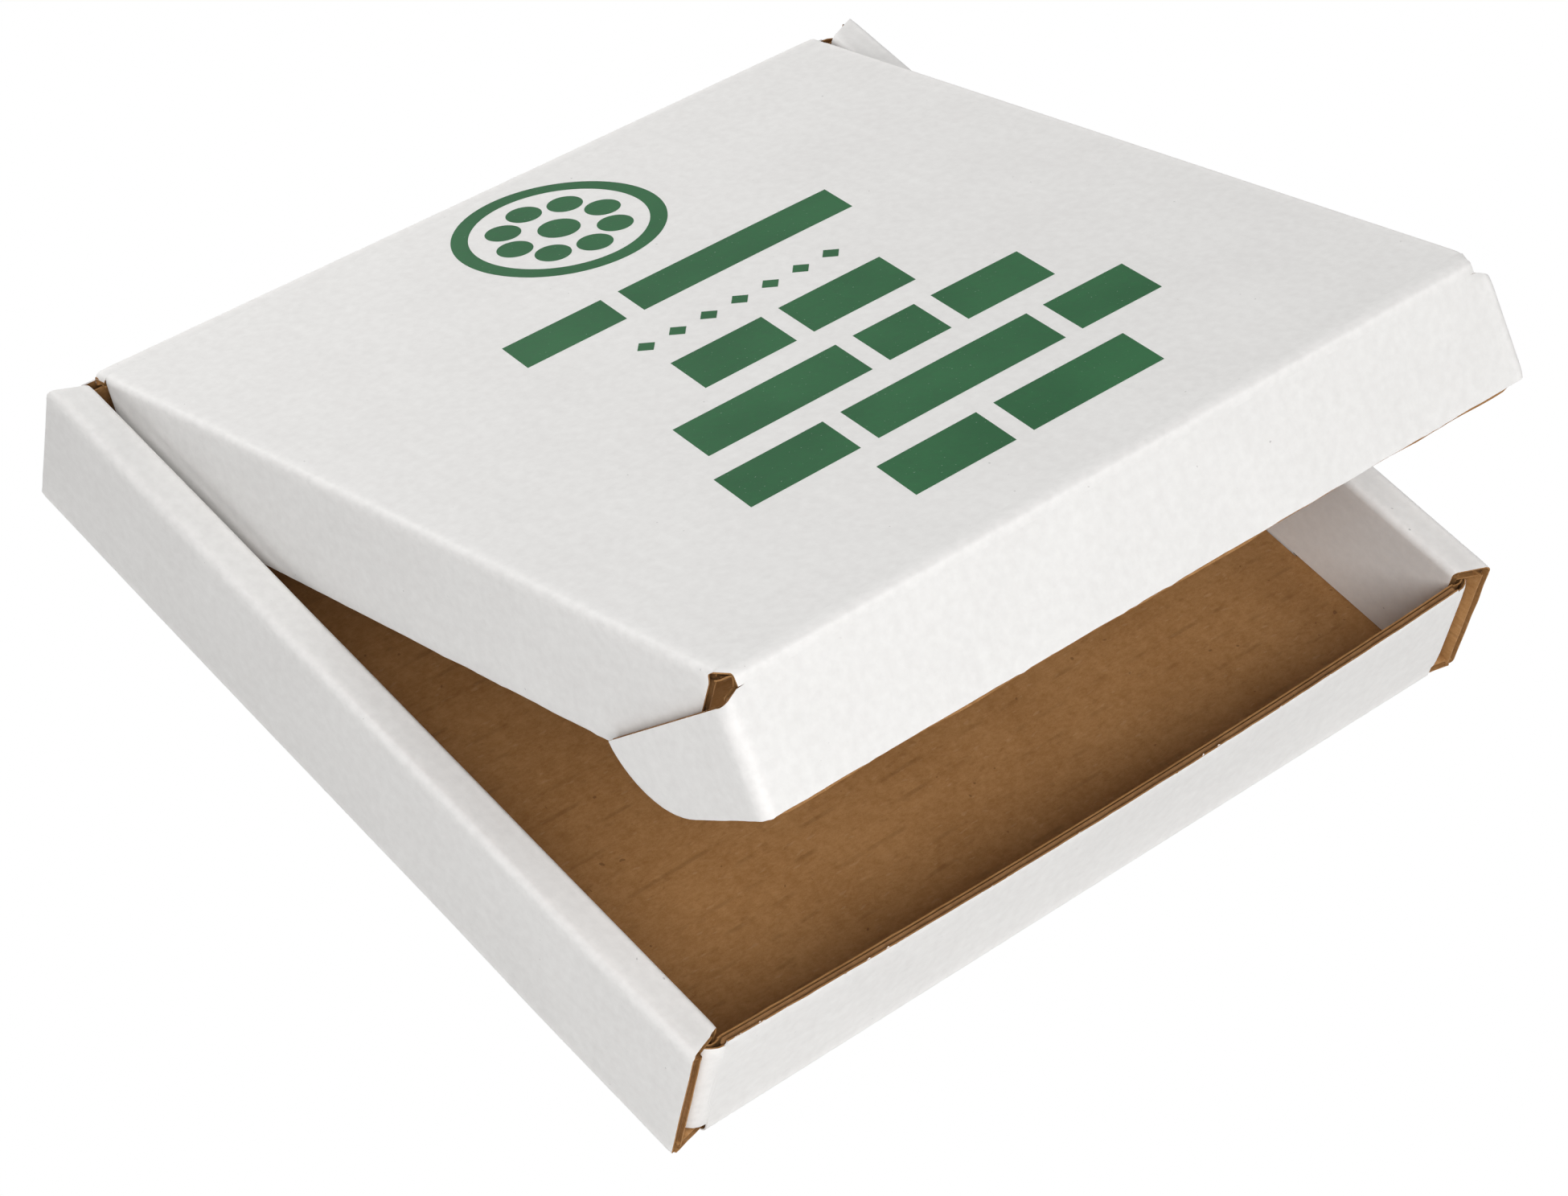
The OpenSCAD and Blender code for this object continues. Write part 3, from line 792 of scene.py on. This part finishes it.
# %% [markdown]
# The rule that cut the front wall's top edge was worn. It left little teeth of white
# paper standing on the edge, most of them towards the left.

# %% Teeth on the front wall's edge
TEETH = ((-108, -60, 15), (-60, 104, 14))
TOOTH_T = 0.16
dice = np.random.RandomState(12)
for spot in np.concatenate([dice.uniform(*span) for span in TEETH]):
    wide, tall, lean = dice.uniform(0.35, 0.9), dice.uniform(0.3, 0.85), dice.uniform(-0.3, 0.3)
    x = spot + np.array([[-wide, wide], [lean - 0.06, lean + 0.06]])
    z = FRONT_H - 0.25 + np.array([[0, 0], [tall, tall]])
    y = -HALF_D + 0.42 + np.array([[0, 0], [0.25, 0.25]]) * dice.uniform(-1, 1)
    front, back = (bow_front(np.stack([y + d, z, x], -1))[..., [2, 0, 1]] for d in (0, TOOTH_T))
    outer_papers.append(slab(front, back, z, x, x * 0))

papers = [(WHITE, KRAFT, outer_papers), (KRAFT, KRAFT, inner_papers), (FLUTING, FLUTING, fluted_papers)]
tray = piece("tray_board", papers)
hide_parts("tray")
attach(tray, "tray")

# %% [markdown]
# ## The lid
# The lid's panel and its two side panels are one run, swept from the hinge crease to the
# front. The side panels' slanted front and back edges come from how far the sweep goes
# at each depth. The hinge and flap creases are left to strips of their own.

# %% Place the lid
LID_SIDE = 29.7
SIDE_START = 3.5
CORNER_CUT, CORNER_IN = 4.2, 2.6
SEAM = 3.0
LID_CROWN = 0.45
slant_front, slant_back = math.tan(math.radians(25)), math.tan(math.radians(14))
tilt = math.radians(LID_OPEN)
LID_ALONG = np.array([0, -math.cos(tilt), math.sin(tilt)])
LID_UP = np.array([0, math.sin(tilt), math.cos(tilt)])
HINGE = np.array([0, HINGE_Y, HINGE_Z])


def lid_high(section):
    x, depth = np.abs(section.outer[:, 0]), -section.outer[:, 1]
    corner = LID_LEN - CORNER_CUT + CORNER_CUT * (LID_HALF - x) / CORNER_IN
    return np.minimum(LID_LEN - SEAM, corner) - np.maximum(depth - BOARD, 0) * slant_front


def lid_low(section):
    depth = -section.outer[:, 1]
    start = SEAM + (SIDE_START - SEAM) * np.clip(depth / BOARD, 0, 1)
    return start + np.maximum(depth - BOARD, 0) * slant_back


def lid_press(section, t):
    return (crease_dip(t) + crease_dip(LID_LEN - t)) * (-section.outer[:, 1] < HAIR)[:, None]


def ease_lid(local):
    """A shallow crown on the lid's panel. local holds x, height and u."""
    x, height, u = local[..., 0], local[..., 1], local[..., 2]
    span = smooth((u - 4) / 40) * smooth((LID_LEN - 4 - u) / 40)
    crown = 1 - (x / LID_HALF) ** 2
    rise = LID_CROWN * crown + wander(x + 0.3 * u, 81, 0.12, 60)
    local[..., 1] = height + rise * span * smooth(height + 4)
    return local


LID_AXES = (HINGE + LID_UP * BOARD / 2, (1, 0, 0), LID_UP, LID_ALONG)
lid_run = Run(
    [(LID_HALF, -LID_SIDE), (LID_HALF, 0), (-LID_HALF, 0), (-LID_HALF, -LID_SIDE)],
    LID_AXES, lid_low, lid_high, LID_FOLD_R, "start end", seed=60, warp=ease_lid, press=lid_press,
    open_low=lambda s: np.abs(s.outer[:, 0]) > LID_HALF - 0.3,
    open_high=lambda s: np.abs(s.outer[:, 0]) > LID_HALF - CORNER_IN,
)


def below_fold(section, t):
    """Shows the fluting in the side panels only."""
    return section.outer[:, 1:] + t * 0 < -2


u_rows = marks(0, 1, 2.2 / LID_LEN, [d / LID_LEN for d in NEAR_EDGE])
lid = piece("lid_board", [
    (WHITE, KRAFT, [lid_run.liner(False, u_rows, 5)]),
    (KRAFT, KRAFT, [lid_run.liner(True, u_rows, 5)]),
    (FLUTING, FLUTING, [lid_run.fluting(phase=1.2, show=below_fold)]),
])
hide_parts("lid")
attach(lid, "lid")

# %% [markdown]
# ## The tuck flap
# The flap and its ears are one run, swept down from the crease. The press has rolled the
# ears thinner. Their sloping tops and round back corners are, again, how far the sweep
# reaches at each place.

# %% Make the tuck flap
EAR_HALF = 110.1
EAR_LEN, EAR_T, EAR_R = 45.0, 2.2, 20.0
EAR_TIP = 44.7
EAR_FOLD_R = 2.6
EAR_START = 4.2
FLAP_REACH = 27.7
FLAP_SEAM = 1.8
LIP = 0.85
FRONT_HALF = LID_HALF - CORNER_IN
ear_slope = math.tan(math.radians(9.2))
fold = math.radians(FLAP_FOLD)
FLAP_DOWN = LID_ALONG * math.cos(fold) - LID_UP * math.sin(fold)
FLAP_OUT = LID_ALONG * math.sin(fold) + LID_UP * math.cos(fold)
FLAP_AXIS = HINGE + LID_ALONG * LID_LEN


def flap_low(section):
    x, behind = np.abs(section.outer[:, 0]), -section.outer[:, 1]
    corner = FLAP_SEAM + np.clip((x - FRONT_HALF) / (EAR_HALF - FRONT_HALF), 0, 1) * (EAR_START - FLAP_SEAM)
    return corner + np.maximum(behind - BOARD, 0) * ear_slope


def flap_high(section):
    past = np.clip(-section.outer[:, 1] - EAR_LEN + EAR_R, 0, EAR_R)
    return FLAP_REACH - EAR_R + np.sqrt(EAR_R ** 2 - past ** 2)


def flap_thick(section):
    behind = -section.outer[:, 1]
    return BOARD - (BOARD - EAR_T) * smooth((behind - 1) / 5)


def flap_press(section, t):
    return crease_dip(t) * (np.abs(section.outer[:, 0]) < FRONT_HALF + HAIR)[:, None]


def flap_lip(section):
    """The rule has pushed the white paper back, so the brown one stands out below it."""
    between = smooth((EAR_HALF - 2 - np.abs(section.outer[:, 0])) / 5)
    return LIP * between * (1 + wander(section.run, 77, 0.4, 11))


ear_marks = [EAR_TIP - EAR_LEN + EAR_R - EAR_R * math.sin(math.radians(a)) for a in range(10, 82, 8)]
flap_run = Run(
    [(EAR_HALF, -EAR_TIP), (EAR_HALF, 0), (-EAR_HALF, 0), (-EAR_HALF, -EAR_TIP)],
    (FLAP_AXIS + FLAP_OUT * BOARD / 2, (1, 0, 0), FLAP_OUT, FLAP_DOWN),
    flap_low, flap_high, EAR_FOLD_R, "start end high",
    seed=90, thick=flap_thick, press=flap_press, lip=flap_lip,
    open_low=lambda s: np.abs(s.outer[:, 0]) > FRONT_HALF,
)
full = 2 * (EAR_TIP + EAR_HALF - 2 * EAR_FOLD_R + EAR_FOLD_R * math.pi / 2)
ear_also = ear_marks + [full - v for v in ear_marks]
v_rows = marks(0, 1, 1 / 16, (0.02, 0.05, 0.09))
flap = piece("flap_board", [
    (WHITE, KRAFT, [flap_run.liner(False, v_rows, 2.0, also=ear_also)]),
    (KRAFT, KRAFT, [flap_run.liner(True, v_rows, 2.0, also=ear_also)]),
    (FLUTING, FLUTING, [flap_run.fluting(phase=0.4)]),
])
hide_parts("tuck_flap")
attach(flap, "tuck_flap")

# %% [markdown]
# ## The two creases that bend
# The sheet runs on over the hinge and over the flap's fold. Each crease is a narrow strip
# of the two liners, crushed together inside the fold, and it bends between the panels on
# either side of it.

# %% Make the crease strips
def crease_run(axis, first, turn, before, after, half, drop=None):
    """A strip across a crease. first: direction of the outer face before it, as an angle in the YZ
    plane. turn: how far it bends. before, after: its reach on either side. half: half its width."""
    way = np.array([math.cos(first), math.sin(first)])
    outward = np.array([way[1], -way[0]])
    trim = CREASE_R * math.tan(turn / 2)
    corner = axis[1:] + outward * CREASE_R + way * trim
    next_way = np.array([math.cos(first + turn), math.sin(first + turn)])
    corners = [corner - way * (trim + before), corner, corner + next_way * (trim + after)]

    def gap(section):
        length = section.run[-1]
        return np.maximum(np.maximum(before - section.run, section.run - length + after), 0)

    run = Run(
        corners, SWEEP_X, lambda s: -half(s), half, radius=CREASE_R, cuts="low high", seed=95, rough=0.15,
        press=lambda s, t: crease_dip(gap(s))[:, None] + t * 0, drop=drop,
    )
    start = axis[1:] + outward * CREASE_R
    end = axis[1:] + np.array([next_way[1], -next_way[0]]) * CREASE_R
    return run, (0, *start * MM), (0, *end * MM)


def pressed_end(section, t):
    """The hinge strip's ends are pressed down like the lid's side folds."""
    past = np.clip(np.abs(t) - LID_HALF + LID_FOLD_R, 0, LID_FOLD_R - 0.02)
    return (LID_FOLD_R - np.sqrt(LID_FOLD_R ** 2 - past ** 2)) * 0.8


def lid_front_reach(section):
    """The flap crease's half width: the lid's cut corner before the crease, then level."""
    before = np.clip(SEAM - section.run, 0, SEAM)
    return FRONT_HALF + np.minimum(before * CORNER_IN / CORNER_CUT, CORNER_IN)


hinge_rise = HINGE_Z - TAB_TOP
hinge_run, hinge_start, hinge_end = crease_run(
    HINGE, math.pi / 2, math.pi / 2 - tilt, hinge_rise, SEAM, level(LID_HALF), pressed_end)
flap_crease, flap_start, flap_end = crease_run(
    FLAP_AXIS, math.pi - tilt, fold, SEAM, FLAP_SEAM, lid_front_reach)
crease_rows = marks(0, 1, 1 / 130, [d / (2 * LID_HALF) for d in NEAR_EDGE])
for name, run, bodies, start, end in (
    ("hinge_crease", hinge_run, ("tray", "lid"), hinge_start, hinge_end),
    ("flap_crease", flap_crease, ("lid", "tuck_flap"), flap_start, flap_end),
):
    strip = piece(name, [
        (WHITE, KRAFT, [run.liner(False, crease_rows, 1.0)]),
        (KRAFT, KRAFT, [run.liner(True, crease_rows, 1.0)]),
    ])
    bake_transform(strip)

# %% [markdown]
# ## The print
# The printed shapes lie on the lid as a film of ink. Each is a small grid, bent over the
# lid's crown by the same rule as the board, and a hair above it.

# %% Draw the printed shapes
INK_T = 0.05
BLOCK_LEAN, BLOCK_GAP, BAND_H = 3.0, 5.0, 15.0
ROSETTE_U, ROSETTE_R, PETALS = 31.0, 25.0, 8
HEADING_U, HEADING_LEN, HEADING_H = 74.0, 100.0, 12.0
DIAMOND_U, DIAMONDS, DIAMOND_STEP, DIAMOND_W = 94.0, 7, 9.0, 5.0
BAND_U, BAND_STEP = 112.0, 23.5


def on_lid(x, u, rise):
    """World places on the lid's outer face, rise above it."""
    local = ease_lid(np.stack([x, x * 0 + rise, u], -1))
    origin, a, b, c = (np.array(v, float) for v in LID_AXES)
    return origin + local[..., 0:1] * a + local[..., 1:2] * b + local[..., 2:3] * c


def film(x, u):
    """A thin solid of ink on the lid, from a grid of places."""
    return slab(on_lid(x, u, INK_T), on_lid(x, u, 0.0), u, x, x * 0)


def block(centre, u, length, height):
    lean = BLOCK_LEAN * height / BAND_H / 2
    columns = np.linspace(-1, 1, max(3, round(length / 4)))
    up, along = np.meshgrid(np.linspace(-1, 1, 5), columns, indexing="ij")
    return film(centre + along * length / 2 - up * lean, u + up * height / 2)


def band(u, lengths, height):
    total = sum(lengths) + BLOCK_GAP * (len(lengths) - 1)
    left = -total / 2
    made = []
    for length in lengths:
        made.append(block(left + length / 2, u, length, height))
        left += length + BLOCK_GAP
    return made


def ring(x, u, inner, outer, steps=48):
    turns = np.linspace(0, math.tau, steps + 1)
    radius, angle = np.meshgrid(np.linspace(inner, outer, 4), turns, indexing="ij")
    return film(x + radius * np.cos(angle), u + radius * np.sin(angle))


shapes = [ring(0, ROSETTE_U, ROSETTE_R * 0.84, ROSETTE_R, 96), ring(0, ROSETTE_U, 0, ROSETTE_R * 0.2)]
for k in range(PETALS):
    angle = math.tau * k / PETALS
    reach = ROSETTE_R * 0.52
    shapes.append(ring(reach * math.sin(angle), ROSETTE_U - reach * math.cos(angle), 0, ROSETTE_R * 0.17))
shapes += band(HEADING_U, [HEADING_LEN * 0.28, HEADING_LEN * 0.62], HEADING_H)
for k in range(DIAMONDS):
    shapes.append(ring((k - (DIAMONDS - 1) / 2) * DIAMOND_STEP, DIAMOND_U, 0, DIAMOND_W / 2, 4))
for k, lengths in enumerate([[26, 30], [46, 18, 26], [30, 54, 24], [28, 38]]):
    shapes += band(BAND_U + k * BAND_STEP, lengths, BAND_H)
prints = piece("lid_ink", [(INK, INK, shapes)])
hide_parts("lid_print")
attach(prints, "lid")

# %% [markdown]
# ## Floor and light
# The photograph is a cut-out on white. The shades of its faces, compared with renders
# by one lamp each from all round, ask for three large soft lamps: a main one from the
# left front, a low one behind the box and a weak one from the right front. Floor and
# world look plain white to the camera. The floor also gives the lamps' light back to the
# box, and the world only fills the shadows a little.

# %% Floor, lamps and world
floor_mesh = bpy.data.meshes.new("floor")
FLOOR = 3.0
floor_corners = [(FLOOR * x, FLOOR * y, 0) for x, y in ((-1, -1), (1, -1), (1, 1), (-1, 1))]
floor_mesh.from_pydata(floor_corners, [], [(0, 1, 2, 3)])
floor = bpy.data.objects.new("floor", floor_mesh)
bpy.context.scene.collection.objects.link(floor)
floor.location.z = -0.0002


def seen(paint):
    """1 for the rays that show the background itself: to the camera, in a gloss or through glass."""
    path = paint.tree.nodes.new("ShaderNodeLightPath")
    names = ("Is Camera Ray", "Is Glossy Ray", "Is Transmission Ray")
    rays = [Wire(paint, path.outputs[name]) for name in names]
    return rays[0].math("MAXIMUM", rays[1]).math("MAXIMUM", rays[2])


cloth = Paint("pale_floor")
cloth.set(Base_Color=(0.8, 0.8, 0.8, 1), Roughness=0.9, Specular_IOR_Level=0.0)
glow = cloth.node("ShaderNodeEmission", {}, {"Color": (1, 1, 1, 1), "Strength": 1.0})
share = seen(cloth)
mixed = cloth.node("ShaderNodeMixShader", {}, {0: share, 1: Wire(cloth, cloth.shader.outputs[0]), 2: glow})
cloth.put(cloth.tree.nodes["Material Output"].inputs["Surface"], mixed)
floor_mesh.materials.append(cloth.material)

LAMP_FAR, LAMP_SIZE = 1.5, 1.0
for name, bearing, height, power in (
    ("main_lamp", 225, 40, 16.4),
    ("back_lamp", 90, 20, 17.0),
    ("side_lamp", 312, 38, 7.6),
):
    lamp = bpy.data.objects.new(name, bpy.data.lights.new(name, "AREA"))
    lamp.data.shape, lamp.data.size, lamp.data.energy = "DISK", LAMP_SIZE, power
    turn, rise = math.radians(bearing), math.radians(height)
    way = Vector((math.cos(turn) * math.cos(rise), math.sin(turn) * math.cos(rise), math.sin(rise)))
    lamp.location = way * LAMP_FAR
    lamp.rotation_mode = "QUATERNION"
    lamp.rotation_quaternion = way.to_track_quat("Z", "Y")
    bpy.context.scene.collection.objects.link(lamp)

world = bpy.data.worlds.new("studio")
bpy.context.scene.world = world
world.use_nodes = True
SKY = 0.03
sky = world.node_tree.nodes["Background"]


class Room:
    """The world's node tree, in the form that the Wire class asks for."""

    tree = world.node_tree
    node, put = Paint.node, Paint.put


room = Room()
level_of_sky = seen(room) * (1 - SKY) + SKY
sky.inputs["Color"].default_value = (1, 1, 1, 1)
room.put(sky.inputs["Strength"], level_of_sky)
bpy.context.scene.view_settings.view_transform = "Standard"
